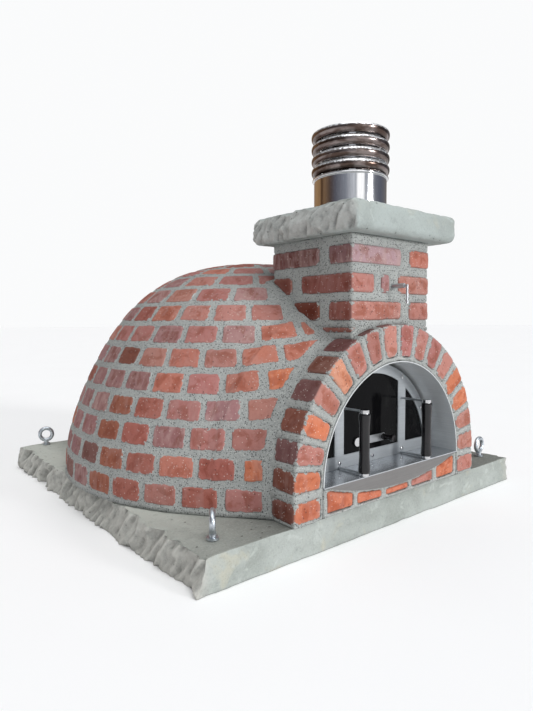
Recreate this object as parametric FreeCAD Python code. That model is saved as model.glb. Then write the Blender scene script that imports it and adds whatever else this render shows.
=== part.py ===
import FreeCAD
import Part
import math
import os

# A wood fired brick pizza oven on a cast concrete slab, ready to be lifted onto a stand.
# Millimetres. Origin at the centre of the slab's underside, +Z up, the mouth towards -Y.

V = FreeCAD.Vector
UP = V(0, 0, 1)
BACK = V(0, 1, 0)

# Slab
SLAB_WIDTH = 1018.0
SLAB_FRONT = -505.0
SLAB_BACK = 505.0
SLAB_TOP = 64.0
SLAB_CHAMFER = 5.0

# Dome: a shell of revolution about a vertical axis, given in polar form from its centre on the slab
DOME_CENTRE = V(0, -16, 0)
DOME_RADIUS = 496.5
DOME_HEIGHT = 530.0
DOME_EXPONENT = 2.10
# The hand-laid shell is not quite a smooth curve: two waves up its side, in mm
DOME_WAVES = [(4, 3.0), (6, 6.0)]
SLIP_THICKNESS = 20.0
MORTAR_SETBACK = 4.0
MORTAR_BED = 24.0
SHELL_INSIDE = 44.0
BLANKET_INSIDE = 84.0
CHAMBER_INSET = 129.0

# Dome courses: bricks in the whole ring, and the azimuth of one of its joints in degrees
COURSES = [
    (37, 45.9), (37, 42.1), (36, 44.4), (35, 41.0), (34, 36.2), (32, 31.2), (29, 24.6),
    (27, 27.0), (22, 31.3), (18, 37.5), (15, 30.0), (11, 35.0), (7, 20.0),
]
COURSE_FIRST = 3.6
COURSE_STEP = 6.45
COURSE_HALF_HEIGHT = 2.6
CROWN_START = 85.1
JOINT = 11.0
SEAM_JOINT = 10.0
SMALLEST_BRICK = 12000.0

# Arch facade, a semicircle on short legs
FRONT = -510.0
ARCH_CENTRE_Z = 128.0
ARCH_RADIUS = 301.0
ARCH_MORTAR_RADIUS = 298.0
ARCH_BACK = -406.0
VOUSSOIR_INNER = 232.0
VOUSSOIR_BACK = -444.0
# The middle of each voussoir from the crown, and its width, both in degrees
VOUSSOIRS = [
    (-86.8, 8.2), (-76.4, 8.2), (-65.3, 8.8), (-53.2, 9.0), (-41.0, 9.0), (-29.2, 9.0), (-17.4, 9.0), (-5.8, 9.0),
    (5.8, 9.0), (17.4, 9.0), (29.0, 9.0), (40.6, 9.0), (52.2, 9.0), (63.8, 9.0), (75.4, 9.0), (87.0, 9.0),
]
LEG_BRICK_BOTTOM = 68.0
LEG_BRICK_TOP = 108.0
MORTAR_FRONT = -507.0
NECK_START = -442.0
NECK_END = -322.0
NECK_FLARE = 76.0
NECK_DROP = 20.0
NECK_REACH = 60.0
NECK_AZIMUTH = 80.0

# Vestibule, floor and sill
FLOOR = 124.0
LINER_RADIUS = 225.0
SHEET = 2.0
BOARD_TOP = 94.0
HEARTH_RADIUS = 362.0
TILE_PITCH = 242.0
TILE_GAP = 1.0
SILL_BRICKS = [(-216, -142), (-130, -55), (-39, 38), (49, 130), (145, 216)]
SILL_BRICK_BOTTOM = 71.0
SILL_BRICK_DEPTH = 60.0
SILL_DROP = 35.0
SILL_CLEARANCE = 5.0

# Throat between the door and the chamber
THROAT_INNER = 205.0
THROAT_OUTER = 250.0
THROAT_END = -230.0
PORT_RADIUS = 72.0

# Chimney stack, cap, flue and cowl
STACK_HALF = 130.0
STACK_FRONT = -492.0
STACK_BACK = -248.0
STACK_COURSES = [(376.0, 424.0), (437.0, 477.0), (493.0, 533.0), (552.0, 590.0)]
STACK_HEADER = 66.0
CAP_LEFT = -177.0
CAP_RIGHT = 190.0
CAP_FRONT = -529.0
CAP_BACK = -210.0
CAP_BOTTOM = 609.0
CAP_TOP = 671.0
CAP_EDGE = 16.0
FLUE_Y = -369.0
FLUE_OUTER = 81.0
FLUE_WALL = 1.5
FLUE_BOTTOM = 356.0
FLUE_TOP = 749.0
COWL_RINGS = [770.0, 794.5, 820.0]
COWL_RING_HALF = 11.5
COWL_INNER = 77.9
COWL_BULGE = 87.0
COWL_CAP_MIDDLE = 846.0
COWL_DISC = 84.5
COWL_SHEET = 1.2
COWL_TOP = 852.0

# Damper
DAMPER_Z = 509.0
DAMPER_ROD = 2.5
DAMPER_SLEEVE = 5.0
DAMPER_FIT = 0.05
DAMPER_SLEEVE_END = -520.0
DAMPER_BEND_Y = -527.0
DAMPER_ARM_END = 472.0
DAMPER_PLATE = 76.0

# Door
DOOR_FRONT = -438.0
DOOR_PLATE = 3.0
GLASS = 4.0
DOOR_RADIUS = 219.0
DOOR_BOTTOM = 124.3
WINDOW_RADIUS = 196.0
RAIL_TOP = 151.5
MULLION_INNER = 93.0
MULLION_OUTER = 121.0
REAR_FLANGE = 18.0
SCREWS = [(-107, 136), (0, 136), (107, 136), (-107, 303.5), (107, 303.5), (-183, 225), (183, 225), (0, 331.5)]
SCREW_HEAD = 4.5
SCREW_SHANK = 2.0
HANDLE_X = 107.0
HANDLE_Y = -506.0
HANDLE_ROD = 2.5
HANDLE_LOW = 127.2
HANDLE_HIGH = 255.0
GRIP_LOW = 130.5
GRIP_HIGH = 251.5
GRIP_END_RADIUS = 12.0
GRIP_WAIST = 10.5

# Air vent lever on the middle pane
VENT_Z = 173.0
VENT_PIVOT_X = -50.0
VENT_KNOB_X = 40.0
VENT_BAR_HEIGHT = 17.0
VENT_BAR_FRONT = -437.5
VENT_BAR_BACK = -436.0
VENT_HOLE_X = -8.0
VENT_HOLE = 6.0
VENT_PIN = 3.0

# Lifting eyes: x, y and the bearing of the ring's plane from +Y towards +X in degrees
EYES = [(-421.0, 480.0, 107.0), (421.0, 480.0, 62.0), (-436.0, -449.0, 34.0), (440.0, -450.0, 87.0)]
EYE_MAJOR = 17.5
EYE_MINOR = 5.5
EYE_Z = 95.0
EYE_SHANK = 5.0


def box(x0, x1, y0, y1, z0, z1):
    return Part.makeBox(x1 - x0, y1 - y0, z1 - z0, V(x0, y0, z0))


def rod_z(radius, x, y, z0, z1):
    return Part.makeCylinder(radius, z1 - z0, V(x, y, z0), UP)


def rod_y(radius, x, z, y0, y1):
    return Part.makeCylinder(radius, y1 - y0, V(x, y0, z), BACK)


def polygon_face(points):
    return Part.Face(Part.makePolygon(points + [points[0]]))


def arch_wire(radius, y, centre_z, foot):
    """Semicircle above centre_z on straight legs down to foot."""
    left = V(-radius, y, centre_z)
    right = V(radius, y, centre_z)
    arc = Part.Arc(left, V(0, y, centre_z + radius), right).toShape()
    if foot >= centre_z:
        return Part.Wire([arc, Part.makeLine(right, left)])
    low_right = V(radius, y, foot)
    low_left = V(-radius, y, foot)
    edges = [arc, Part.makeLine(right, low_right)]
    edges += [Part.makeLine(low_right, low_left), Part.makeLine(low_left, left)]
    return Part.Wire(edges)


def arch_block(radius, y0, y1, centre_z=ARCH_CENTRE_Z, foot=SLAB_TOP):
    return Part.Face(arch_wire(radius, y0, centre_z, foot)).extrude(V(0, y1 - y0, 0))


def dome_point(angle, inset):
    """A point of the dome's profile in the XZ plane, inset towards the dome's centre."""
    c = math.cos(math.radians(angle))
    s = math.sin(math.radians(angle))
    power = DOME_EXPONENT
    reach = ((c / DOME_RADIUS) ** power + (s / DOME_HEIGHT) ** power) ** (-1 / power) - inset
    reach += sum(height * math.cos(math.radians(times * angle)) for times, height in DOME_WAVES)
    return V(reach * c, 0, SLAB_TOP + reach * s) + DOME_CENTRE


def axis_point(angle, inset):
    """The profile's last point, moved exactly onto the axis."""
    point = dome_point(angle, inset)
    point.x = 0
    return point


def dome_line(angles, inset):
    points = [dome_point(angle, inset) for angle in angles[:-1]]
    return points + [axis_point(angles[-1], inset)]


def dome_solid(angles, inset):
    """Everything under the dome surface at this inset."""
    points = [V(DOME_CENTRE.x, DOME_CENTRE.y, SLAB_TOP)] + dome_line(angles, inset)
    return polygon_face(points).revolve(DOME_CENTRE, UP, 360)


def dome_layer(angles_out, inset_out, angles_in, inset_in):
    points = dome_line(angles_out, inset_out) + dome_line(angles_in, inset_in)[::-1]
    return polygon_face(points).revolve(DOME_CENTRE, UP, 360)


def course_angles(index):
    middle = COURSE_FIRST + COURSE_STEP * index
    return middle - COURSE_HALF_HEIGHT, middle + COURSE_HALF_HEIGHT


def keep_bricks(shapes, smallest=SMALLEST_BRICK):
    """The solids worth laying; smaller cut pieces are left to the mortar."""
    solids = [solid for shape in shapes for solid in shape.Solids]
    return [solid for solid in solids if solid.Volume > smallest]


def export(name, shape):
    if isinstance(shape, list):
        shape = shape[0] if len(shape) == 1 else Part.makeCompound(shape)
    shape.exportStep("parts/" + name + ".step")


# ---------------------------------------------------------------- shared volumes

JOINT_ANGLES = [0.0] + [COURSE_FIRST + COURSE_STEP * (k + 0.5) for k in range(len(COURSES))] + [90.0]
FACE_ANGLES = [0.0] + [a for k in range(len(COURSES)) for a in course_angles(k)] + [CROWN_START, 90.0]

arch_void = arch_block(ARCH_MORTAR_RADIUS, -600, ARCH_BACK)
throat_void = arch_block(THROAT_OUTER, ARCH_BACK, THROAT_END, FLOOR)
chamber = dome_solid(JOINT_ANGLES, CHAMBER_INSET)
stack_void = box(
    -STACK_HALF + MORTAR_SETBACK, STACK_HALF - MORTAR_SETBACK,
    STACK_FRONT + MORTAR_SETBACK, STACK_BACK - MORTAR_SETBACK, FLOOR + THROAT_INNER, CAP_BOTTOM)
flue_void = rod_z(FLUE_OUTER + 0.3, 0, FLUE_Y, FLUE_BOTTOM, 900)
port_void = rod_z(PORT_RADIUS, 0, FLUE_Y, 300, FLUE_BOTTOM).common(box(-100, 100, ARCH_BACK + 2, 0, 300, FLUE_BOTTOM))
sleeve_void = rod_y(DAMPER_SLEEVE, 0, DAMPER_Z, -600, FLUE_Y)
shaft_void = rod_y(DAMPER_ROD + DAMPER_FIT, 0, DAMPER_Z, FLUE_Y, FLUE_Y + FLUE_OUTER + 4)
arch_seam = arch_block(ARCH_RADIUS + SEAM_JOINT, -600, 0)
stack_seam = box(
    -STACK_HALF - SEAM_JOINT, STACK_HALF + SEAM_JOINT, -600, STACK_BACK + SEAM_JOINT, SLAB_TOP, CAP_BOTTOM)


def open_dome(layer):
    """Cut a dome layer for the arch, the throat and the stack."""
    return layer.cut([arch_void, throat_void, stack_void])


# ---------------------------------------------------------------- slab and lifting eyes

def slab():
    body = box(-SLAB_WIDTH / 2, SLAB_WIDTH / 2, SLAB_FRONT, SLAB_BACK, 0, SLAB_TOP)
    body = body.makeChamfer(SLAB_CHAMFER, [e for e in body.Edges if e.CenterOfMass.z > 1])
    sockets = [rod_z(EYE_SHANK + 0.05, x, y, SLAB_TOP - 20, SLAB_TOP) for x, y, bearing in EYES]
    return body.cut(sockets)


def lifting_eye(x, y, bearing):
    plane = math.radians(bearing)
    normal = V(math.cos(plane), -math.sin(plane), 0)
    ring = Part.makeTorus(EYE_MAJOR, EYE_MINOR, V(x, y, EYE_Z), normal)
    neck = rod_z(6.5, x, y, SLAB_TOP, EYE_Z - EYE_MAJOR)
    collar = rod_z(11, x, y, SLAB_TOP, SLAB_TOP + 4)
    shank = rod_z(EYE_SHANK, x, y, SLAB_TOP - 20, SLAB_TOP)
    return ring.fuse([neck, collar, shank]).removeSplitter()


# ---------------------------------------------------------------- dome

def neck_flare(inset):
    """The cone by which the dome spreads forward to meet the arch, inset square to its surface."""
    slope = NECK_FLARE / (NECK_END - NECK_START)
    start = ARCH_RADIUS - inset * math.sqrt(1 + slope ** 2)
    wires = [arch_wire(start, NECK_START, ARCH_CENTRE_Z, SLAB_TOP),
             arch_wire(start + NECK_FLARE, NECK_END, ARCH_CENTRE_Z - NECK_DROP, SLAB_TOP)]
    return Part.makeLoft(wires, True, True)


def outside_arch(solid):
    centre = solid.CenterOfMass
    return math.hypot(centre.x, max(centre.z - ARCH_CENTRE_Z, 0)) > ARCH_RADIUS


def wedge(index, azimuth, width, outer, inner):
    """One brick's wedge of revolution between two insets of the dome surface."""
    low, high = course_angles(index)
    section = [dome_point(a, inset) for a, inset in ((low, outer), (high, outer), (high, inner), (low, inner))]
    face = polygon_face(section)
    face.rotate(DOME_CENTRE, UP, 270 - azimuth - width)
    return face.revolve(DOME_CENTRE, UP, width)


def course_bricks(index, skin_outside, skin_inside):
    """The slips of one ring; those in front follow the neck and are cut at the arch and the stack."""
    count, first = COURSES[index]
    middle_radius = dome_point(sum(course_angles(index)) / 2, 0).x
    pitch = 360 / count
    width = pitch - math.degrees(JOINT / middle_radius)
    bricks = []
    for k in range(count):
        azimuth = first + pitch * k + (pitch - width) / 2
        turned = (azimuth + width / 2 + 180) % 360 - 180
        if abs(turned) < NECK_AZIMUTH:
            brick = wedge(index, azimuth, width, -NECK_REACH, SLIP_THICKNESS)
            brick = brick.common(skin_outside).cut([skin_inside, arch_seam, stack_seam])
            bricks += [solid for solid in brick.Solids if outside_arch(solid)]
        else:
            bricks.append(wedge(index, azimuth, width, 0, SLIP_THICKNESS))
    return keep_bricks(bricks)


def crown_brick():
    points = [dome_point(CROWN_START, 0), axis_point(90, 0), axis_point(90, SLIP_THICKNESS),
              dome_point(CROWN_START, SLIP_THICKNESS)]
    return polygon_face(points).revolve(DOME_CENTRE, UP, 360)


def dome_mortar(bricks):
    """The bed behind the slips and the joints between them, thickened where the neck flares."""
    bed = dome_layer(FACE_ANGLES, MORTAR_SETBACK, JOINT_ANGLES, MORTAR_BED)
    flare = neck_flare(MORTAR_SETBACK).cut(dome_solid(JOINT_ANGLES, MORTAR_BED))
    return open_dome(bed.fuse(flare)).cut(bricks)


# ---------------------------------------------------------------- arch

def arch_bricks():
    depth = VOUSSOIR_BACK - FRONT
    bricks = []
    for middle, width in VOUSSOIRS:
        face = polygon_face([V(0, FRONT, ARCH_CENTRE_Z + VOUSSOIR_INNER), V(0, FRONT, ARCH_CENTRE_Z + ARCH_RADIUS),
                             V(0, FRONT + depth, ARCH_CENTRE_Z + ARCH_RADIUS),
                             V(0, FRONT + depth, ARCH_CENTRE_Z + VOUSSOIR_INNER)])
        face.rotate(V(0, 0, ARCH_CENTRE_Z), BACK, middle - width / 2)
        bricks.append(face.revolve(V(0, 0, ARCH_CENTRE_Z), BACK, width).cut(flue_void))
    for side in (-1, 1):
        x0, x1 = sorted((side * VOUSSOIR_INNER, side * ARCH_RADIUS))
        bricks.append(box(x0, x1, FRONT, VOUSSOIR_BACK, LEG_BRICK_BOTTOM, LEG_BRICK_TOP))
    return bricks


def arch_core():
    body = arch_block(ARCH_MORTAR_RADIUS, VOUSSOIR_BACK, ARCH_BACK)
    opening = arch_block(LINER_RADIUS + SHEET, -600, 0, FLOOR)
    return body.cut([opening, flue_void])


def arch_mortar(bricks):
    """The mortar around the arch's bricks, a joint at a time, parted at the middle of each brick."""
    ring = arch_block(ARCH_MORTAR_RADIUS, MORTAR_FRONT, VOUSSOIR_BACK)
    ring = ring.cut([arch_block(LINER_RADIUS + SHEET, -600, 0, FLOOR), flue_void]).cut(bricks)
    middles = [-90.0] + [middle for middle, width in VOUSSOIRS[1:-1]] + [90.0]
    joints = []
    for start, end in zip(middles, middles[1:]):
        face = polygon_face([V(0, -600, ARCH_CENTRE_Z), V(0, -600, ARCH_CENTRE_Z + 400),
                             V(0, -400, ARCH_CENTRE_Z + 400), V(0, -400, ARCH_CENTRE_Z)])
        face.rotate(V(0, 0, ARCH_CENTRE_Z), BACK, start)
        sector = face.revolve(V(0, 0, ARCH_CENTRE_Z), BACK, end - start)
        joints += ring.common(sector).Solids
    legs = [box(-400, 0, -600, 0, 0, ARCH_CENTRE_Z), box(0, 400, -600, 0, 0, ARCH_CENTRE_Z)]
    return joints + [solid for leg in legs for solid in ring.common(leg).Solids]


def sill_arc_wire(y, drop, half):
    """Segment below the floor line: a straight top edge and a sagging arc."""
    ends = V(-half, y, FLOOR), V(half, y, FLOOR)
    arc = Part.Arc(ends[0], V(0, y, FLOOR - drop), ends[1]).toShape()
    return Part.Wire([arc, Part.makeLine(ends[1], ends[0])])


def sill_bricks():
    clear = Part.Face(sill_arc_wire(-600, SILL_DROP + SILL_CLEARANCE, LINER_RADIUS + 14)).extrude(V(0, 400, 0))
    back = FRONT + SILL_BRICK_DEPTH
    return [box(x0, x1, FRONT, back, SILL_BRICK_BOTTOM, FLOOR - SHEET).cut(clear) for x0, x1 in SILL_BRICKS]


# ---------------------------------------------------------------- chimney

def stack_blocks(long_first):
    """Plan boxes of one course, as x0, x1, y0, y1; corner bricks turn the corner."""
    half, header = STACK_HALF, STACK_HEADER
    front, back = STACK_FRONT, STACK_BACK
    if long_first:
        return [(-half, 30, front, front + header), (58, half, front, front + 152),
                (-30, half, back - header, back), (-half, -58, back - 152, back)]
    return [(-half, -58, front, front + 147), (-38, -10, front, front + header),
            (19, half, front, front + header), (58, half, back - 147, back),
            (10, 38, back - header, back), (-half, -19, back - header, back)]


def chimney_bricks(skin_outside):
    inside = box(-STACK_HALF + SLIP_THICKNESS, STACK_HALF - SLIP_THICKNESS,
                 STACK_FRONT + SLIP_THICKNESS, STACK_BACK - SLIP_THICKNESS, 0, 700)
    cutters = [inside, arch_seam, skin_outside]
    bricks = []
    for k, (low, high) in enumerate(STACK_COURSES):
        for x0, x1, y0, y1 in stack_blocks(k % 2 == 1):
            bricks.append(box(x0, x1, y0, y1, low, high).cut(cutters))
    return keep_bricks(bricks, 4000)


def chimney_body(bricks):
    shape = stack_void.cut([arch_void, throat_void, chamber, flue_void, sleeve_void, shaft_void, port_void])
    return shape.cut(bricks)


def chimney_cap():
    body = box(CAP_LEFT, CAP_RIGHT, CAP_FRONT, CAP_BACK, CAP_BOTTOM, CAP_TOP)
    body = body.makeFillet(CAP_EDGE, body.Edges)
    return body.cut(flue_void)


def tube_z(outer, inner, z0, z1):
    return rod_z(outer, 0, FLUE_Y, z0, z1).cut(rod_z(inner, 0, FLUE_Y, z0 - 1, z1 + 1))


def flue_pipe():
    rod_hole = rod_y(DAMPER_ROD + DAMPER_FIT, 0, DAMPER_Z, FLUE_Y - 100, FLUE_Y + 100)
    return tube_z(FLUE_OUTER, FLUE_OUTER - FLUE_WALL, FLUE_BOTTOM, FLUE_TOP).cut(rod_hole)


def cowl_band(middle, half):
    """One louvre: a band of sheet that bulges outwards."""
    def arc(offset):
        return Part.Arc(V(COWL_INNER + offset, 0, middle + half), V(COWL_BULGE - COWL_SHEET + offset, 0, middle),
                        V(COWL_INNER + offset, 0, middle - half)).toShape()
    inner, outer = arc(0), arc(COWL_SHEET)
    ends = [Part.makeLine(inner.Vertexes[i].Point, outer.Vertexes[i].Point) for i in (0, -1)]
    face = Part.Face(Part.Wire(Part.__sortEdges__([inner, outer] + ends)))
    face.translate(V(0, FLUE_Y, 0))
    return face.revolve(V(0, FLUE_Y, 0), UP, 360)


def cowl_collar():
    skirt = tube_z(FLUE_OUTER - FLUE_WALL - 0.3, FLUE_OUTER - FLUE_WALL - 1.8, FLUE_TOP - 20, FLUE_TOP + 6)
    flange = tube_z(FLUE_OUTER + 2, FLUE_OUTER - FLUE_WALL - 0.3, FLUE_TOP, FLUE_TOP + 6)
    bead = Part.makeTorus(FLUE_OUTER + 1, 3, V(0, FLUE_Y, FLUE_TOP + 3), UP)
    return skirt.fuse([flange, bead]).removeSplitter()


def cowl_cap():
    """The top louvre, closed by a disc."""
    disc = rod_z(COWL_DISC, 0, FLUE_Y, COWL_TOP - COWL_SHEET, COWL_TOP)
    above = rod_z(COWL_BULGE + 1, 0, FLUE_Y, COWL_TOP, COWL_TOP + 50)
    return cowl_band(COWL_CAP_MIDDLE, COWL_RING_HALF).cut(above).fuse(disc).removeSplitter()


def cowl_posts():
    outer = FLUE_OUTER - FLUE_WALL - 2.2
    posts = []
    for k in range(4):
        post = box(outer - 2, outer, FLUE_Y - 7, FLUE_Y + 7, FLUE_TOP - 18, COWL_TOP - COWL_SHEET)
        post.rotate(V(0, FLUE_Y, 0), UP, 45 + 90 * k)
        posts.append(post)
    return posts


# ---------------------------------------------------------------- damper

def damper_sleeve():
    bore = rod_y(DAMPER_ROD + DAMPER_FIT, 0, DAMPER_Z, -600, FLUE_Y)
    return rod_y(DAMPER_SLEEVE, 0, DAMPER_Z, DAMPER_SLEEVE_END, FLUE_Y - FLUE_OUTER - 1).cut(bore)


def damper_rod():
    shaft = rod_y(DAMPER_ROD, 0, DAMPER_Z, DAMPER_BEND_Y, FLUE_Y + FLUE_OUTER + 2)
    elbow = Part.makeSphere(DAMPER_ROD, V(0, DAMPER_BEND_Y, DAMPER_Z))
    arm = rod_z(DAMPER_ROD, 0, DAMPER_BEND_Y, DAMPER_ARM_END, DAMPER_Z)
    return shaft.fuse([elbow, arm]).removeSplitter()


def damper_plate(shaft):
    axis = V(1, 0, 0)
    return Part.makeCylinder(DAMPER_PLATE, 1.5, V(DAMPER_ROD - 0.1, FLUE_Y, DAMPER_Z), axis).cut(shaft)


# ---------------------------------------------------------------- floor and liner

def floor_outline(z0, z1):
    disc = rod_z(HEARTH_RADIUS, DOME_CENTRE.x, DOME_CENTRE.y, z0, z1)
    passage = box(-THROAT_INNER + 1, THROAT_INNER - 1, ARCH_BACK, DOME_CENTRE.y, z0, z1)
    return disc.fuse(passage).removeSplitter()


def hearth_tiles():
    """Square firebrick tiles laid with hairline gaps and trimmed to the chamber."""
    outline = floor_outline(BOARD_TOP, FLOOR)
    tiles = []
    for i in (-1, 0, 1):
        for j in (-2, -1, 0, 1):
            x0 = (i - 0.5) * TILE_PITCH
            y0 = DOME_CENTRE.y + (j - 0.5) * TILE_PITCH
            cell = box(x0, x0 + TILE_PITCH - TILE_GAP, y0, y0 + TILE_PITCH - TILE_GAP, BOARD_TOP, FLOOR)
            tiles.append(cell.common(outline))
    return keep_bricks(tiles, 1000)


def throat_arch():
    body = arch_block(THROAT_OUTER, ARCH_BACK, THROAT_END, FLOOR)
    opening = arch_block(THROAT_INNER, -600, 0, FLOOR)
    return body.cut([opening, chamber, flue_void, port_void])


def vestibule_liner():
    outer = arch_block(LINER_RADIUS + SHEET, FRONT, ARCH_BACK, FLOOR, FLOOR)
    return outer.cut(arch_block(LINER_RADIUS, FRONT - 1, ARCH_BACK + 1, FLOOR, FLOOR - 1))


def vestibule_floor():
    return box(-LINER_RADIUS - SHEET, LINER_RADIUS + SHEET, FRONT - SHEET, ARCH_BACK, FLOOR - SHEET, FLOOR)


def sill_plate():
    face = Part.Face(sill_arc_wire(FRONT - SHEET, SILL_DROP, LINER_RADIUS))
    return face.extrude(V(0, SHEET, 0)).cut(vestibule_floor())


# ---------------------------------------------------------------- door

def door_outline(radius, y0, y1, bottom):
    block = arch_block(radius, y0, y1, FLOOR, FLOOR)
    return block.common(box(-radius, radius, y0, y1, bottom, FLOOR + radius + 1))


def window_cells(grow, y0, y1):
    """The three window openings, each grown outwards by the same amount."""
    block = door_outline(WINDOW_RADIUS + grow, y0, y1, RAIL_TOP - grow)
    high = FLOOR + DOOR_RADIUS
    edges = [(-DOOR_RADIUS, -MULLION_OUTER + grow), (-MULLION_INNER - grow, MULLION_INNER + grow),
             (MULLION_OUTER - grow, DOOR_RADIUS)]
    return [block.common(box(x0, x1, y0, y1, FLOOR, high)) for x0, x1 in edges]


def screw_holes(y0, y1):
    return [rod_y(SCREW_SHANK + 0.1, x, z, y0, y1) for x, z in SCREWS]


GLASS_FRONT = DOOR_FRONT + DOOR_PLATE
GLASS_BACK = GLASS_FRONT + GLASS
REAR_BACK = GLASS_BACK + DOOR_PLATE


def door_front_frame():
    plate = door_outline(DOOR_RADIUS, DOOR_FRONT, GLASS_FRONT, DOOR_BOTTOM)
    return plate.cut(window_cells(0, DOOR_FRONT, GLASS_FRONT) + screw_holes(DOOR_FRONT, GLASS_FRONT))


def door_rear_frame():
    plate = door_outline(DOOR_RADIUS, GLASS_BACK, REAR_BACK, DOOR_BOTTOM)
    plate = plate.cut(window_cells(0, GLASS_BACK, REAR_BACK) + screw_holes(GLASS_BACK, REAR_BACK))
    end = REAR_BACK + REAR_FLANGE
    flange = door_outline(DOOR_RADIUS, REAR_BACK, end, DOOR_BOTTOM)
    flange = flange.cut(door_outline(DOOR_RADIUS - 2, REAR_BACK, end, DOOR_BOTTOM + 2))
    spacer = door_outline(DOOR_RADIUS, GLASS_FRONT, GLASS_BACK, DOOR_BOTTOM)
    spacer = spacer.cut(door_outline(DOOR_RADIUS - 2, GLASS_FRONT, GLASS_BACK, DOOR_BOTTOM + 2))
    return plate.fuse([flange, spacer]).removeSplitter()


def door_glass():
    panes = window_cells(8, GLASS_FRONT, GLASS_BACK)
    holes = [rod_y(VENT_HOLE, VENT_HOLE_X, VENT_Z, GLASS_FRONT, GLASS_BACK),
             rod_y(VENT_PIN + 0.2, VENT_PIVOT_X, VENT_Z, GLASS_FRONT, GLASS_BACK)]
    panes[1] = panes[1].cut(holes)
    return panes


def door_screws():
    screws = []
    for x, z in SCREWS:
        head = rod_y(SCREW_HEAD, x, z, DOOR_FRONT - 3, DOOR_FRONT)
        head = head.makeFillet(1.8, [e for e in head.Edges if e.CenterOfMass.y < DOOR_FRONT - 2.9])
        screws.append(head.fuse(rod_y(SCREW_SHANK, x, z, DOOR_FRONT, REAR_BACK)).removeSplitter())
    return screws


def handle_rod(side):
    x = side * HANDLE_X
    arms = [rod_y(HANDLE_ROD, x, z, HANDLE_Y, DOOR_FRONT) for z in (HANDLE_LOW, HANDLE_HIGH)]
    elbows = [Part.makeSphere(HANDLE_ROD, V(x, HANDLE_Y, z)) for z in (HANDLE_LOW, HANDLE_HIGH)]
    stem = rod_z(HANDLE_ROD, x, HANDLE_Y, HANDLE_LOW, HANDLE_HIGH)
    return stem.fuse(arms + elbows).removeSplitter()


def handle_grip(side):
    """A turned grip with a slight waist, bored for its rod."""
    bore = HANDLE_ROD + 0.05
    profile = [(GRIP_END_RADIUS - 1, 0), (GRIP_END_RADIUS, 3), (GRIP_END_RADIUS, 9), (GRIP_WAIST, 32)]
    lower = [V(r, 0, GRIP_LOW + rise) for r, rise in profile]
    upper = [V(r, 0, GRIP_HIGH - rise) for r, rise in profile[::-1]]
    section = lower + upper + [V(bore, 0, GRIP_HIGH), V(bore, 0, GRIP_LOW)]
    grip = polygon_face(section).revolve(V(0, 0, 0), UP, 360)
    grip.translate(V(side * HANDLE_X, HANDLE_Y, 0))
    return grip


def grip_caps(rods):
    caps = []
    for side, rod in zip((-1, 1), rods):
        for z0, z1 in ((GRIP_LOW - 5.5, GRIP_LOW), (GRIP_HIGH, GRIP_HIGH + 7)):
            caps.append(rod_z(9.5, side * HANDLE_X, HANDLE_Y, z0, z1).cut(rod))
    return caps


# ---------------------------------------------------------------- vent lever

def vent_lever():
    half = VENT_BAR_HEIGHT / 2
    bar = box(VENT_PIVOT_X, VENT_KNOB_X, VENT_BAR_FRONT, VENT_BAR_BACK, VENT_Z - half, VENT_Z + half)
    ends = [rod_y(half, x, VENT_Z, VENT_BAR_FRONT, VENT_BAR_BACK) for x in (VENT_PIVOT_X, VENT_KNOB_X)]
    hole = rod_y(VENT_PIN + 0.05, VENT_PIVOT_X, VENT_Z, VENT_BAR_FRONT, VENT_BAR_BACK)
    return bar.fuse(ends).removeSplitter().cut(hole)


def vent_knob():
    """A black spool that stands out from the lever."""
    discs = [(7.5, 0, 6), (5.5, 6, 22), (7.5, 22, 30)]
    solids = [rod_y(r, VENT_KNOB_X, VENT_Z, VENT_BAR_FRONT - b, VENT_BAR_FRONT - a) for r, a, b in discs]
    return solids[0].fuse(solids[1:]).removeSplitter()


def vent_pivot():
    head = rod_y(9.5, VENT_PIVOT_X, VENT_Z, VENT_BAR_FRONT - 2.1, VENT_BAR_FRONT - 0.1)
    shank = rod_y(VENT_PIN, VENT_PIVOT_X, VENT_Z, VENT_BAR_FRONT - 0.1, GLASS_BACK)
    nut = rod_y(7, VENT_PIVOT_X, VENT_Z, GLASS_BACK, GLASS_BACK + 3)
    return head.fuse([shank, nut]).removeSplitter()


# ---------------------------------------------------------------- build and write every node

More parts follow.
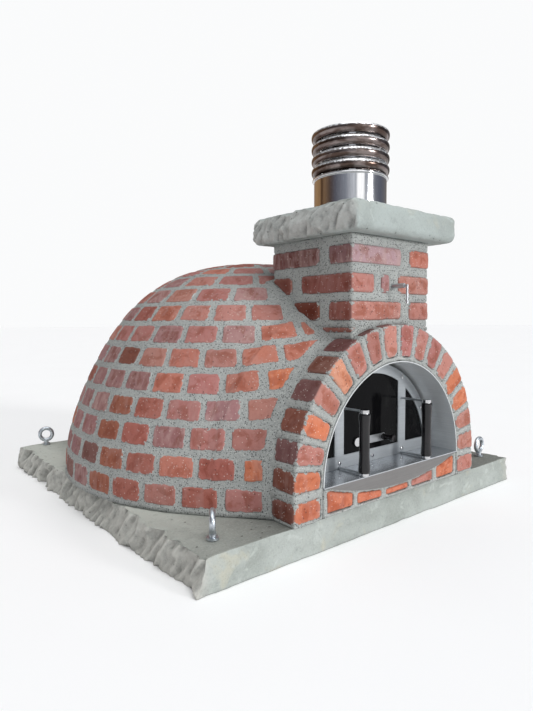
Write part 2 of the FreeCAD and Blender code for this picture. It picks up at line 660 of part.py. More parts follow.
def main():
    os.makedirs("parts", exist_ok=True)
    skin_outside = dome_solid(FACE_ANGLES, 0).fuse(neck_flare(0))
    skin_inside = dome_solid(FACE_ANGLES, SLIP_THICKNESS).fuse(neck_flare(SLIP_THICKNESS))

    export("base_slab", slab())
    export("lifting_eyes", [lifting_eye(*eye) for eye in EYES])

    courses = [course_bricks(k, skin_outside, skin_inside) for k in range(len(COURSES))]
    for k, bricks in enumerate(courses):
        export("dome_bricks_course_%02d" % (k + 1), bricks)
    crown = crown_brick()
    export("dome_crown_brick", crown)
    laid = [brick for bricks in courses for brick in bricks] + [crown]
    export("dome_mortar", dome_mortar(laid))
    export("outer_shell", open_dome(dome_layer(JOINT_ANGLES, MORTAR_BED, JOINT_ANGLES, SHELL_INSIDE)))
    export("insulation_blanket", open_dome(dome_layer(JOINT_ANGLES, SHELL_INSIDE, JOINT_ANGLES, BLANKET_INSIDE)))
    export("refractory_dome", open_dome(dome_layer(JOINT_ANGLES, BLANKET_INSIDE, JOINT_ANGLES, CHAMBER_INSET)))
    export("throat_arch", throat_arch())

    voussoirs = arch_bricks()
    export("arch_bricks", voussoirs)
    export("arch_mortar", arch_mortar(voussoirs))
    export("arch_core", arch_core())
    sills = sill_bricks()
    export("sill_bricks", sills)
    threshold = box(-LINER_RADIUS - SHEET, LINER_RADIUS + SHEET, MORTAR_FRONT, ARCH_BACK, SLAB_TOP, FLOOR - SHEET)
    export("threshold_block", threshold.cut(sills))

    export("floor_insulation_board", floor_outline(SLAB_TOP, BOARD_TOP))
    export("hearth_tiles", hearth_tiles())
    export("vestibule_liner", vestibule_liner())
    export("vestibule_floor", vestibule_floor())
    export("front_sill_plate", sill_plate())

    stack = chimney_bricks(skin_outside)
    export("chimney_bricks", stack)
    export("chimney_body", chimney_body(stack + voussoirs))
    export("chimney_cap", chimney_cap())
    export("flue_pipe", flue_pipe())
    export("cowl_collar", cowl_collar())
    export("cowl_louvres", [cowl_band(z, COWL_RING_HALF) for z in COWL_RINGS])
    export("cowl_posts", cowl_posts())
    export("cowl_cap", cowl_cap())

    shaft = damper_rod()
    export("damper_sleeve", damper_sleeve())
    export("damper_rod", shaft)
    export("damper_plate", damper_plate(shaft))

    rods = [handle_rod(side) for side in (-1, 1)]
    export("door_front_frame", door_front_frame())
    export("door_rear_frame", door_rear_frame())
    export("door_glass", door_glass())
    export("door_screws", door_screws())
    export("handle_rod_left", rods[0])
    export("handle_rod_right", rods[1])
    export("handle_grip_left", handle_grip(-1))
    export("handle_grip_right", handle_grip(1))
    export("grip_end_caps", grip_caps(rods))
    export("vent_lever", vent_lever())
    export("vent_knob", vent_knob())
    export("vent_pivot", vent_pivot())


main()
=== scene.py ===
import math

import bpy
import numpy as np
from mathutils import Matrix, Vector


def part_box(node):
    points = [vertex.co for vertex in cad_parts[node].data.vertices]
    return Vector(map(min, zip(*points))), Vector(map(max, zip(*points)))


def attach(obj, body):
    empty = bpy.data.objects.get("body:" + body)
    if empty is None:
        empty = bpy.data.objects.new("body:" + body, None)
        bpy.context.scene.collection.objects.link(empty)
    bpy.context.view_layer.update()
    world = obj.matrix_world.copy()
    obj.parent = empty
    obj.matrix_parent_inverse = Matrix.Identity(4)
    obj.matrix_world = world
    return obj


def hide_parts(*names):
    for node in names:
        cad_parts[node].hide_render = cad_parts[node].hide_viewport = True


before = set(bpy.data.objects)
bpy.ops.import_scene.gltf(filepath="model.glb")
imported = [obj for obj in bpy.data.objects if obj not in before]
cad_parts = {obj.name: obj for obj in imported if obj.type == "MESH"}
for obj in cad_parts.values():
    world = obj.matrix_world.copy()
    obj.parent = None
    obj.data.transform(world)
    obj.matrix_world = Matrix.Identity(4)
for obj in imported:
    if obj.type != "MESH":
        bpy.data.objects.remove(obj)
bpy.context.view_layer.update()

rng = np.random.default_rng(7)

# Positions and sizes of the oven's main parts in metres, as in the CAD
SLAB_TOP = 0.064
DOME = np.array([0.0, -0.016, SLAB_TOP])
DOME_R, DOME_H, DOME_POWER = 0.4965, 0.530, 2.10
DOME_WAVES = ((4, 0.003), (6, 0.006))
NECK_START, NECK_LENGTH, NECK_FLARE, NECK_DROP = -0.442, 0.120, 0.076, 0.020
ARCH_Z, ARCH_R = 0.128, 0.301
FLUE_Y = -0.369
MORTAR_BED = 0.024
STACK_FRONT = -0.40         # bricks in front of this y are on the stack's front
STACK_COURSES = (0.400, 0.457, 0.513, 0.571)
COWL_LOW, COWL_PITCH = 0.7585, 0.0252


# ---------------------------------------------------------------- numbers on points

def hashed(i, j, k, seed):
    """A random number from 0 to 1 for each lattice cell."""
    h = (i.astype(np.uint32) * np.uint32(374761393) + j.astype(np.uint32) * np.uint32(668265263)
         + k.astype(np.uint32) * np.uint32(2246822519) + np.uint32(seed * 40503 + 17))
    h = (h ^ (h >> np.uint32(15))) * np.uint32(2246822519)
    h = (h ^ (h >> np.uint32(13))) * np.uint32(3266489917)
    return ((h ^ (h >> np.uint32(16))) & np.uint32(0xffffff)) / float(0xffffff)


def noise(points, size, seed):
    """Smooth noise from -1 to 1 whose lumps are about this size."""
    p = points / size
    cell = np.floor(p).astype(np.int64)
    t = p - cell
    t = t * t * (3 - 2 * t)
    total = np.zeros(len(p))
    for a in (0, 1):
        for b in (0, 1):
            for c in (0, 1):
                weight = (t[:, 0] if a else 1 - t[:, 0]) * (t[:, 1] if b else 1 - t[:, 1])
                weight = weight * (t[:, 2] if c else 1 - t[:, 2])
                total += weight * hashed(cell[:, 0] + a, cell[:, 1] + b, cell[:, 2] + c, seed)
    return total * 2 - 1


def broken(points, size, seed):
    """From 0 at the ridges of a split stone face to 1 in its hollows."""
    return np.abs(noise(points, size, seed)) * 0.62 + np.abs(noise(points, size * 0.43, seed + 1)) * 0.38


def islands(count, links):
    """Numbers the connected parts of a mesh."""
    label = np.arange(count)
    while True:
        low = np.minimum(label[links[:, 0]], label[links[:, 1]])
        new = label.copy()
        for side in (0, 1):
            np.minimum.at(new, links[:, side], low)
            np.minimum.at(new, label[links[:, side]], low)
        new = new[new]
        if np.array_equal(new, label):
            return np.unique(label, return_inverse=True)[1].ravel()
        label = new


def relax(points, links, rounds):
    """Evens a surface out, which rounds its edges."""
    count = len(points)
    ends = np.concatenate([links[:, 0], links[:, 1]])
    others = np.concatenate([links[:, 1], links[:, 0]])
    degree = np.maximum(np.bincount(ends, minlength=count), 1)
    for _ in range(rounds):
        mean = np.stack([np.bincount(ends, column[others], count) / degree for column in points.T], 1)
        points = points + (mean - points) / 2
    return points


def even(values, links, rounds):
    """Spreads one number at each point out over its neighbours."""
    return relax(values[:, None], links, rounds)[:, 0]


# ---------------------------------------------------------------- meshes

def read(mesh):
    """A mesh's points, and its edges as pairs of points."""
    points = np.empty(len(mesh.vertices) * 3, np.float32)
    mesh.vertices.foreach_get("co", points)
    links = np.empty(len(mesh.edges) * 2, np.int32)
    mesh.edges.foreach_get("vertices", links)
    return points.reshape(-1, 3).astype(float), links.reshape(-1, 2)


def normals(mesh):
    found = np.empty(len(mesh.vertices) * 3, np.float32)
    mesh.vertex_normals.foreach_get("vector", found)
    return found.reshape(-1, 3).astype(float)


def write(mesh, points):
    mesh.vertices.foreach_set("co", points.astype(np.float32).ravel())
    mesh.update()


def node_mesh(name):
    """A CAD node's points, with doubled ones merged, and its triangles."""
    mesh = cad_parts[name].data
    mesh.calc_loop_triangles()
    triangles = np.empty(len(mesh.loop_triangles) * 3, np.int32)
    mesh.loop_triangles.foreach_get("vertices", triangles)
    merged, place = np.unique(np.round(read(mesh)[0], 5), axis=0, return_inverse=True)
    return merged, place.ravel()[triangles].reshape(-1, 3)


def joined(nodes):
    """Several CAD nodes' points and triangles, as one mesh."""
    points, faces, shift = [], [], 0
    for node in nodes:
        own_points, own_faces = node_mesh(node)
        points.append(own_points)
        faces.append(own_faces + shift)
        shift += len(own_points)
    return np.concatenate(points), np.concatenate(faces)


def box_middle(points):
    return (points.min(0) + points.max(0)) / 2


def piece(name, points, faces):
    """A new mesh object that rides on the oven's fixed body."""
    mesh = bpy.data.meshes.new(name)
    mesh.from_pydata(points.tolist(), [], faces if isinstance(faces, list) else faces.tolist())
    mesh.update()
    obj = bpy.data.objects.new(name, mesh)
    bpy.context.scene.collection.objects.link(obj)
    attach(obj, "oven")
    return obj


def remesh(obj, size):
    """Gives obj an even skin of quads of this size."""
    modifier = obj.modifiers.new("voxels", "REMESH")
    modifier.mode = "VOXEL"
    modifier.voxel_size = size
    graph = bpy.context.evaluated_depsgraph_get()
    mesh = bpy.data.meshes.new_from_object(obj.evaluated_get(graph))
    obj.modifiers.clear()
    obj.data = mesh
    mesh.shade_smooth()


def number_attribute(mesh, name, values):
    layer = mesh.attributes.new(name, "FLOAT", "POINT")
    layer.data.foreach_set("value", values.astype(np.float32))


def colour_attribute(mesh, name, values):
    layer = mesh.attributes.new(name, "FLOAT_COLOR", "POINT")
    opaque = np.column_stack([values, np.ones(len(values))])
    layer.data.foreach_set("color", opaque.astype(np.float32).ravel())


# ---------------------------------------------------------------- materials

class Nodes:
    """A material's node tree, built in order."""

    def __init__(self, name):
        self.material = bpy.data.materials.new(name)
        self.material.use_nodes = True
        self.tree = self.material.node_tree
        self.shader = self.tree.nodes["Principled BSDF"]
        self.place = self.add("ShaderNodeTexCoord").outputs["Object"]

    def add(self, kind, **settings):
        node = self.tree.nodes.new(kind)
        for key, value in settings.items():
            setattr(node, key, value)
        return node

    def link(self, source, target):
        """Feeds a socket from another one, or sets it to a number or a colour."""
        if isinstance(source, (int, float)):
            target.default_value = source
        elif isinstance(source, tuple):
            target.default_value = source + (1.0,) if len(source) == 3 else source
        else:
            self.tree.links.new(source, target)

    def scaled(self, x, y, z):
        """The object's coordinates, stretched along each axis."""
        node = self.add("ShaderNodeMapping")
        node.inputs["Scale"].default_value = (x, y, z)
        self.link(self.place, node.inputs["Vector"])
        return node.outputs["Vector"]

    def noise(self, scale, detail=4.0, rough=0.55, distortion=0.0, place=None):
        node = self.add("ShaderNodeTexNoise")
        self.link(place or self.place, node.inputs["Vector"])
        node.inputs["Scale"].default_value = scale
        node.inputs["Detail"].default_value = detail
        node.inputs["Roughness"].default_value = rough
        node.inputs["Distortion"].default_value = distortion
        return node.outputs["Fac"]

    def cells(self, scale):
        """Distance to the nearest of scattered points, and a random colour for each."""
        node = self.add("ShaderNodeTexVoronoi")
        self.link(self.place, node.inputs["Vector"])
        node.inputs["Scale"].default_value = scale
        return node.outputs["Distance"], node.outputs["Color"]

    def step(self, value, low, high, out_low=0.0, out_high=1.0):
        """Goes smoothly from out_low to out_high as value goes from low to high."""
        node = self.add("ShaderNodeMapRange", interpolation_type="SMOOTHSTEP")
        self.link(value, node.inputs["Value"])
        ends = {"From Min": low, "From Max": high, "To Min": out_low, "To Max": out_high}
        for name, number in ends.items():
            node.inputs[name].default_value = number
        return node.outputs["Result"]

    def math(self, operation, a, b=0.0):
        node = self.add("ShaderNodeMath", operation=operation)
        self.link(a, node.inputs[0])
        self.link(b, node.inputs[1])
        return node.outputs[0]

    def mix(self, share, a, b, blend="MIX"):
        """Colour a where share is 0, and b where it is 1."""
        node = self.add("ShaderNodeMix", data_type="RGBA", blend_type=blend)
        self.link(share, node.inputs["Factor"])
        self.link(a, node.inputs["A"])
        self.link(b, node.inputs["B"])
        return node.outputs["Result"]

    def attribute(self, name, output="Fac"):
        return self.add("ShaderNodeAttribute", attribute_name=name).outputs[output]

    def bump(self, height, distance, strength=1.0, below=None):
        """A normal from a height, on top of the normal below."""
        node = self.add("ShaderNodeBump")
        node.inputs["Distance"].default_value = distance
        node.inputs["Strength"].default_value = strength
        self.link(height, node.inputs["Height"])
        if below is not None:
            self.link(below, node.inputs["Normal"])
        return node.outputs["Normal"]

    def finish(self, colour, rough, normal=None, **constants):
        self.link(colour, self.shader.inputs["Base Color"])
        self.link(rough, self.shader.inputs["Roughness"])
        if normal is not None:
            self.link(normal, self.shader.inputs["Normal"])
        for name, value in constants.items():
            self.shader.inputs[name.replace("_", " ")].default_value = value
        return self.material


MATTE = {"Specular_IOR_Level": 0.25}
SAND, DARK_GRAIN, PALE_GRAIN = (0.385, 0.400, 0.385), (0.050, 0.050, 0.052), (0.64, 0.65, 0.61)


def shade(colour, factor):
    """A colour made darker or lighter."""
    return tuple(min(1, c * factor) for c in colour)


def spots(n, scale, size, share):
    """Round spots on some of the cells: size and share are each where a spot fades in and is full."""
    near, tint = n.cells(scale)
    return n.math("MULTIPLY", n.step(near, *size), n.step(tint, *share))


def sand(n):
    """Mortar with dark and pale grains in it: colour and height."""
    patches = n.noise(9, 3)
    fine = n.noise(420, 3, 0.7)
    colour = n.mix(n.step(patches, 0.3, 0.7), SAND, shade(SAND, 0.86))
    colour = n.mix(n.step(fine, 0.44, 0.66, 0, 0.50), colour, shade(SAND, 0.58))
    speck = spots(n, 300, (0.47, 0.25), (0.53, 0.60))
    colour = n.mix(n.math("MULTIPLY", speck, 0.80), colour, DARK_GRAIN)
    small = spots(n, 480, (0.42, 0.22), (0.52, 0.60))
    colour = n.mix(n.math("MULTIPLY", small, 0.60), colour, shade(DARK_GRAIN, 2))
    pale = spots(n, 340, (0.40, 0.20), (0.62, 0.70))
    colour = n.mix(n.math("MULTIPLY", pale, 0.6), colour, PALE_GRAIN)
    height = n.math("ADD", fine, n.math("MULTIPLY", speck, -0.5))
    return colour, height


def mortar_material():
    n = Nodes("mortar")
    colour, height = sand(n)
    return n.finish(colour, 0.93, n.bump(height, 0.0016, 0.8), **MATTE)


def brick_material():
    """Fired clay: each brick has its tone, deeper in the middle and paler at its rim, where mortar lies."""
    n = Nodes("tumbled_brick")
    base = n.attribute("brick", "Color")
    border = n.attribute("border")
    wide = n.noise(26, 4, 0.6, 0.8)
    fine = n.noise(170, 5, 0.72)
    streak = n.noise(60, 3, 0.6, 0.3, n.scaled(1, 1, 0.25))
    deep = n.mix(1.0, base, (0.74, 0.58, 0.50), "MULTIPLY")
    dark = n.mix(1.0, base, (0.60, 0.54, 0.52), "MULTIPLY")
    middle = n.math("SUBTRACT", n.step(wide, 0.40, 0.62, 0, 0.9), n.math("MULTIPLY", border, 0.8))
    colour = n.mix(n.step(middle, 0.0, 0.8), base, deep)
    lit = n.mix(1.0, base, (1.10, 1.16, 1.16), "MULTIPLY")
    colour = n.mix(n.step(fine, 0.52, 0.74, 0, 0.55), colour, lit)
    colour = n.mix(n.step(fine, 0.47, 0.28, 0, 0.50), colour, dark)
    haze = n.math("MULTIPLY", n.step(streak, 0.42, 0.68), n.attribute("haze"))
    haze = n.math("ADD", haze, n.math("MULTIPLY", border, 0.12))
    colour = n.mix(haze, colour, (0.42, 0.29, 0.27))
    grain = spots(n, 200, (0.30, 0.14), (0.60, 0.66))
    colour = n.mix(n.math("MULTIPLY", grain, 0.55), colour, (0.62, 0.52, 0.48))
    chalk = n.math("MULTIPLY", n.step(n.noise(30, 5, 0.75, 1.5), 0.60, 0.70), n.step(fine, 0.45, 0.60))
    colour = n.mix(n.math("MULTIPLY", chalk, 0.45), colour, (0.55, 0.46, 0.43))
    shaded_pit = spots(n, 110, (0.24, 0.10), (0.66, 0.72))
    # Painted shade: the small pits are painted near black
    colour = n.mix(n.math("MULTIPLY", shaded_pit, 0.5), colour, (0.05, 0.03, 0.03))
    ragged = n.math("ADD", n.noise(75, 3, 0.6), n.math("MULTIPLY", fine, 0.35))
    smear = n.step(n.math("ADD", n.attribute("rim"), n.math("MULTIPLY", ragged, 2.1)), 2.30, 2.42)
    mortar, sand_height = sand(n)
    colour = n.mix(smear, colour, mortar)
    height = n.math("ADD", n.math("MULTIPLY", fine, 0.6), n.math("MULTIPLY", shaded_pit, -0.9))
    height = n.math("ADD", height, n.math("MULTIPLY", n.math("MULTIPLY", sand_height, smear), 0.8))
    normal = n.bump(height, 0.0012, 0.7)
    normal = n.bump(n.noise(45, 3), 0.003, 0.45, normal)
    return n.finish(colour, n.step(fine, 0.3, 0.8, 0.80, 0.95), normal, **MATTE)


def concrete_material(name, light, dark, stain, top, rock):
    """Cast concrete: light, dark and stain are its plain faces, top a trowelled one and rock a split one."""
    n = Nodes(name)
    apart = n.add("ShaderNodeSeparateXYZ")
    n.link(n.add("ShaderNodeNewGeometry").outputs["Normal"], apart.inputs[0])
    wide = n.noise(7, 4, 0.6, 0.5)
    middle = n.noise(40, 5, 0.65)
    fine = n.noise(260, 4, 0.7)
    brushed = n.noise(1.0, 4, 0.65, 0.4, n.scaled(60, 230, 60))
    colour = n.mix(n.step(wide, 0.35, 0.70), light, dark)
    colour = n.mix(n.step(n.noise(16, 5, 0.6, 0.8), 0.55, 0.72, 0, 0.55), colour, stain)
    colour = n.mix(n.step(n.noise(24, 5, 0.6, 1.0), 0.58, 0.68, 0, 0.45), colour, shade(light, 1.3))
    rough = n.mix(n.step(middle, 0.35, 0.68), rock, shade(rock, 0.78))
    rock_shade_and_highlight = n.attribute("rock_shade_and_highlight")
    # Painted shade in the rock face's hollows and painted highlight on its ridges
    rough = n.mix(n.step(rock_shade_and_highlight, 0.05, 0.9, 0, 0.6), rough, shade(rock, 0.45))
    rough = n.mix(n.step(rock_shade_and_highlight, -0.1, -0.8, 0, 0.6), rough, shade(rock, 1.25))
    colour = n.mix(n.attribute("split"), colour, rough)
    floated = n.mix(n.step(brushed, 0.35, 0.70), top, shade(top, 0.78))
    floated = n.mix(n.step(wide, 0.40, 0.72, 0, 0.5), floated, shade(top, 1.18))
    # Painted light: the slab's top is painted up to 2.8 times paler where its mask is set
    floated = n.mix(n.attribute("painted_top_light"), floated, shade(top, 2.8))
    colour = n.mix(n.step(apart.outputs["Z"], 0.55, 0.85), colour, floated)
    colour = n.mix(n.step(middle, 0.52, 0.72, 0, 0.38), colour, shade(dark, 0.72))
    colour = n.mix(n.step(fine, 0.50, 0.75, 0, 0.30), colour, shade(light, 1.25))
    colour = n.mix(n.step(fine, 0.46, 0.28, 0, 0.35), colour, shade(dark, 0.55))
    shaded_pit = spots(n, 75, (0.20, 0.07), (0.60, 0.66))
    # Painted shade: the small pits are painted dark
    colour = n.mix(n.math("MULTIPLY", shaded_pit, 0.7), colour, (0.09, 0.09, 0.08))
    height = n.math("ADD", n.math("MULTIPLY", fine, 0.35), n.math("MULTIPLY", shaded_pit, -1.2))
    height = n.math("ADD", height, n.math("MULTIPLY", middle, 0.9))
    height = n.math("ADD", height, n.math("MULTIPLY", brushed, 0.5))
    return n.finish(colour, 0.92, n.bump(height, 0.0024, 0.9), **MATTE)


def steel_material(name, colour, rough, grain, strength, spread=0.10, metal=1.0):
    """Sheet steel with fine lines along one direction; grain scales the noise along x, y and z."""
    n = Nodes(name)
    lines = n.noise(1.0, 3, 0.65, 0.0, n.scaled(*grain))
    cloud = n.noise(14, 3, 0.6, 0.4)
    tone = n.mix(n.step(lines, 0.35, 0.65), shade(colour, 0.90), colour)
    tone = n.mix(n.step(cloud, 0.40, 0.75, 0, 0.35), tone, shade(colour, 0.80))
    rough_map = n.math("ADD", n.step(cloud, 0.3, 0.8, rough - spread / 2, rough + spread / 2),
                       n.math("MULTIPLY", lines, 0.06))
    return n.finish(tone, rough_map, n.bump(lines, 0.0002, strength), Metallic=metal)


def cowl_material():
    """Polished steel rings with their reflections painted into the colour: a painted highlight on the crimped
    edge at the top of each, and a painted brown reflection on the rest.
    """
    n = Nodes("cowl_painted_reflections")
    apart = n.add("ShaderNodeSeparateXYZ")
    n.link(n.place, apart.inputs[0])
    band = n.math("FRACT", n.math("DIVIDE", n.math("SUBTRACT", apart.outputs["Z"], COWL_LOW), COWL_PITCH))
    crimp = n.noise(190, 3, 0.7)
    lip = n.step(n.math("ADD", band, n.math("MULTIPLY", n.math("SUBTRACT", crimp, 0.5), 0.30)), 0.55, 0.63)
    streak = n.noise(1.0, 4, 0.6, 0.3, n.scaled(24, 24, 60))
    # Painted reflection: dark brown streaks where the rings mirror the brown room
    brown = n.mix(n.step(streak, 0.40, 0.62), (0.085, 0.058, 0.048), (0.24, 0.20, 0.19))
    # Painted highlight: bright silver on each ring's crimped edge
    silver = n.mix(n.step(crimp, 0.38, 0.60), (0.42, 0.43, 0.44), (0.92, 0.93, 0.95))
    colour = n.mix(lip, brown, silver)
    crimps = n.bump(n.math("MULTIPLY", crimp, lip), 0.0012, 0.8)
    return n.finish(colour, n.step(lip, 0, 1, 0.22, 0.28), crimps, Metallic=1.0)


def glass_material():
    n = Nodes("dark_glass")
    smudge = n.noise(18, 5, 0.6, 1.2)
    colour = n.mix(n.step(smudge, 0.45, 0.8), (0.0035, 0.0035, 0.004), (0.009, 0.009, 0.009))
    return n.finish(colour, n.step(smudge, 0.4, 0.8, 0.05, 0.14), None, Specular_IOR_Level=0.05)


def lacquer_material():
    n = Nodes("black_lacquer")
    wear = n.noise(60, 4, 0.6)
    colour = n.mix(n.step(wear, 0.45, 0.75), (0.004, 0.0035, 0.0045), (0.014, 0.011, 0.013))
    return n.finish(colour, n.step(wear, 0.3, 0.8, 0.12, 0.24), n.bump(wear, 0.0003, 0.25))


def galvanised_material():
    n = Nodes("galvanised")
    tint = n.cells(240)[1]
    cloud = n.noise(120, 3)
    colour = n.mix(n.step(tint, 0.3, 0.7), (0.46, 0.50, 0.54), (0.62, 0.66, 0.70))
    colour = n.mix(n.step(cloud, 0.45, 0.75, 0, 0.5), colour, (0.34, 0.36, 0.38))
    return n.finish(colour, n.step(cloud, 0.3, 0.7, 0.30, 0.48), n.bump(cloud, 0.0006, 0.5), Metallic=1.0)


def firebrick_material(name, light, dark):
    n = Nodes(name)
    wide, fine = n.noise(18, 4, 0.6), n.noise(240, 4, 0.7)
    colour = n.mix(n.step(wide, 0.35, 0.7), light, dark)
    colour = n.mix(n.step(fine, 0.5, 0.75, 0, 0.4), colour, shade(dark, 0.7))
    return n.finish(colour, 0.92, n.bump(fine, 0.0012, 0.6), **MATTE)


BRICK = brick_material()
MORTAR = mortar_material()
SLAB_CONCRETE = concrete_material(
    "slab_concrete", light=(0.385, 0.412, 0.39), dark=(0.285, 0.308, 0.285), stain=(0.46, 0.435, 0.34),
    top=(0.172, 0.178, 0.162), rock=(0.46, 0.455, 0.42))
CAP_CONCRETE = concrete_material(
    "cap_concrete", light=(0.365, 0.405, 0.39), dark=(0.305, 0.335, 0.32), stain=(0.40, 0.40, 0.345),
    top=(0.42, 0.46, 0.44), rock=(0.46, 0.47, 0.45))
ACROSS, ALONG = (12, 700, 700), (500, 12, 500)
BRUSHED_X = steel_material("brushed_steel_across", (0.50, 0.515, 0.535), 0.32, ACROSS, 0.5)
DOOR_STEEL = steel_material("door_steel", (0.42, 0.445, 0.465), 0.42, ACROSS, 0.5, metal=0.80)
SILL_STEEL = steel_material("sill_steel", (0.245, 0.238, 0.234), 0.40, ACROSS, 0.5)
LINER_STEEL = steel_material("liner_steel", (0.70, 0.72, 0.725), 0.36, ALONG, 0.5, metal=0.55)
FLOOR_STEEL = steel_material("floor_steel", (0.56, 0.585, 0.615), 0.22, ACROSS, 0.4, metal=0.85)
BRUSHED_Y = steel_material("brushed_steel_along", (0.56, 0.58, 0.60), 0.36, ALONG, 0.5)
POLISHED = steel_material("polished_steel", (0.66, 0.66, 0.67), 0.08, (500, 500, 30), 0.12, 0.04)
COWL_STEEL = cowl_material()
GLASS = glass_material()
LACQUER = lacquer_material()
GALVANISED = galvanised_material()
FIREBRICK = firebrick_material("firebrick", (0.50, 0.42, 0.30), (0.38, 0.31, 0.22))
REFRACTORY = firebrick_material("refractory_cement", (0.42, 0.38, 0.33), (0.30, 0.27, 0.24))
INSULATION = firebrick_material("ceramic_fibre", (0.72, 0.71, 0.68), (0.62, 0.61, 0.58))


def coat(obj, material):
    """Gives an object its material."""
    obj.data.materials.clear()
    obj.data.materials.append(material)


# ---------------------------------------------------------------- the dome's skin

NECK_BLEND = 0.030      # over this difference in reach the dome and its neck melt into one another
NECK_FADE = 0.025       # the neck sinks into the dome over this length
NECK_SINK = 0.02        # by this much
NECK_LEAD = 0.03        # the neck carries on this far in front of its start
LEVEL_MOST = 0.004      # no brick's face is moved further than this to lie on the dome's curve


def dome_reach(direction, inset, eased=True):
    """How far from the dome's centre its skin is in each direction, with the neck that meets the arch."""
    flat = np.hypot(direction[:, 0], direction[:, 1])
    power = DOME_POWER
    dome = ((flat / DOME_R) ** power + (np.abs(direction[:, 2]) / DOME_H) ** power) ** (-1 / power) - inset
    steep = np.arctan2(direction[:, 2], flat)
    dome = dome + sum(height * np.cos(times * steep) for times, height in DOME_WAVES)

    dx, dy, dz = direction.T
    start, turn = (DOME[1] - NECK_START) / NECK_LENGTH, dy / NECK_LENGTH
    slope = NECK_FLARE / NECK_LENGTH
    wide = ARCH_R - inset * math.sqrt(1 + slope ** 2) + NECK_FLARE * start
    spread = NECK_FLARE * turn
    rise = DOME[2] - ARCH_Z + NECK_DROP * start
    climb = dz + NECK_DROP * turn
    a = dx ** 2 + climb ** 2 - spread ** 2
    b = 2 * (rise * climb - wide * spread)
    c = rise ** 2 - wide ** 2
    root = np.sqrt(np.maximum(b * b - 4 * a * c, 0))
    round_part = (-b + root) / (2 * np.where(np.abs(a) < 1e-9, 1e-9, a))
    straight_part = wide / np.maximum(np.abs(dx) - spread, 1e-6)
    neck = np.where(rise + round_part * climb > 0, round_part, straight_part)

    y = DOME[1] + neck * dy
    end = NECK_START + NECK_LENGTH
    inside = (y < end) & (y > NECK_START - NECK_LEAD) & (neck > 0)
    if not eased:
        return np.where(inside, np.maximum(dome, neck), dome)
    late = np.clip((y - end + NECK_FADE) / NECK_FADE, 0, 1)
    neck = np.where(inside, neck - NECK_SINK * late, dome - 1)
    share = np.clip(0.5 + 0.5 * (neck - dome) / NECK_BLEND, 0, 1)
    return dome + (neck - dome) * share + NECK_BLEND * share * (1 - share)


def outward(point):
    """The direction from the dome's centre to a point."""
    return (point - DOME) / np.linalg.norm(point - DOME)


def ease_neck(points):
    """Takes out the crease where the neck runs into the dome."""
    away = points - DOME
    direction = away / np.linalg.norm(away, axis=1)[:, None]
    return points + direction * (dome_reach(direction, 0) - dome_reach(direction, 0, False))[:, None]


def level(points, faces_out):
    """Lays the dome bricks' outer faces on the dome's curve, which the CAD follows in flat steps."""
    away = points - DOME
    far = np.linalg.norm(away, axis=1)
    direction = away / far[:, None]
    deep = np.clip(dome_reach(direction, 0) - far, -LEVEL_MOST, LEVEL_MOST)
    facing = np.clip(((direction * faces_out).sum(1) - 0.80) / 0.15, 0, 1)
    return points + direction * (deep * facing)[:, None]


# ---------------------------------------------------------------- bricks

TONES = {
    "coral": (0.40, 0.145, 0.102), "rose": (0.35, 0.145, 0.125), "salmon": (0.40, 0.175, 0.142),
    "red": (0.30, 0.098, 0.074), "rust": (0.27, 0.085, 0.048), "plum": (0.25, 0.118, 0.115),
    "dusty": (0.31, 0.158, 0.158), "umber": (0.17, 0.052, 0.032), "maroon": (0.17, 0.072, 0.062),
    "peach": (0.54, 0.230, 0.145), "orange": (0.50, 0.158, 0.082), "mauve": (0.36, 0.24, 0.25),
}
HAZY = ("plum", "dusty", "mauve")
DOME_MIX = (["rose"] * 6 + ["coral"] * 5 + ["salmon"] * 3 + ["red"] * 3 + ["rust"] * 2 + ["plum"] * 4
            + ["dusty"] * 2)
# The dome's bricks beside the arch on its left, from the arch backwards, course by course from the bottom
DOME_LEFT = [
    "rose red rose red rust plum maroon",
    "orange red coral red rust maroon plum plum",
    "rose rose plum red rust plum plum",
    "salmon dusty rose red rust plum plum",
    "orange coral rose coral plum plum plum",
    "coral coral rose coral salmon umber plum",
    "coral coral dusty rose plum rose rose",
    "rose salmon salmon coral red plum rose",
    "dusty rose salmon dusty rose rose rose",
    "rose rose salmon dusty rose plum",
    "dusty rose coral rose rose plum",
]
# From the left leg over the crown to the right leg
ARCH_ORDER = ("orange orange salmon orange salmon peach salmon rose salmon rose salmon rose "
              "salmon orange orange salmon salmon salmon")
# The front of the stack, from the bottom course up, on each side of the middle
STACK_LEFT = ("salmon", "salmon", "salmon", "mauve")
STACK_RIGHT = ("salmon", "rose", "salmon", "coral")
SHORT_COURSE, SHORT_X = 2, 0.04     # the course with a short brick in the middle of the stack's front

BRICK_VOXEL, BRICK_ROUNDS = 0.0025, 7
EDGE_MOVE = 0.0019      # evening the mesh out moves a brick's edge about this far
LAST_Y, LAST_SHIFT = -0.37, 0.007   # the dome's bricks in front of this y lie nearer to the arch


def tone_of(name):
    """A brick's colour: one of the tones, each brick a little different."""
    return np.array(TONES[name]) * rng.uniform(0.93, 1.07) * rng.uniform(0.97, 1.03, 3)


def nudge(points, centre, out, up, longer, growth, turn, sink):
    """Moves one brick a little: its size, its twist and how far it stands out."""
    side = np.cross(up, out)
    axes = np.stack([side, up, out])
    local = (points - centre) @ axes.T
    local[:, 0] *= 1 + longer + rng.uniform(-growth, growth)
    local[:, 1] *= 1 + rng.uniform(-growth, growth * 1.3)
    a = rng.uniform(-turn, turn)
    x, y = local[:, 0].copy(), local[:, 1].copy()
    local[:, 0], local[:, 1] = x * math.cos(a) - y * math.sin(a), x * math.sin(a) + y * math.cos(a)
    local[:, 2] += rng.uniform(-sink, 0.2 * sink)
    return centre + local @ axes


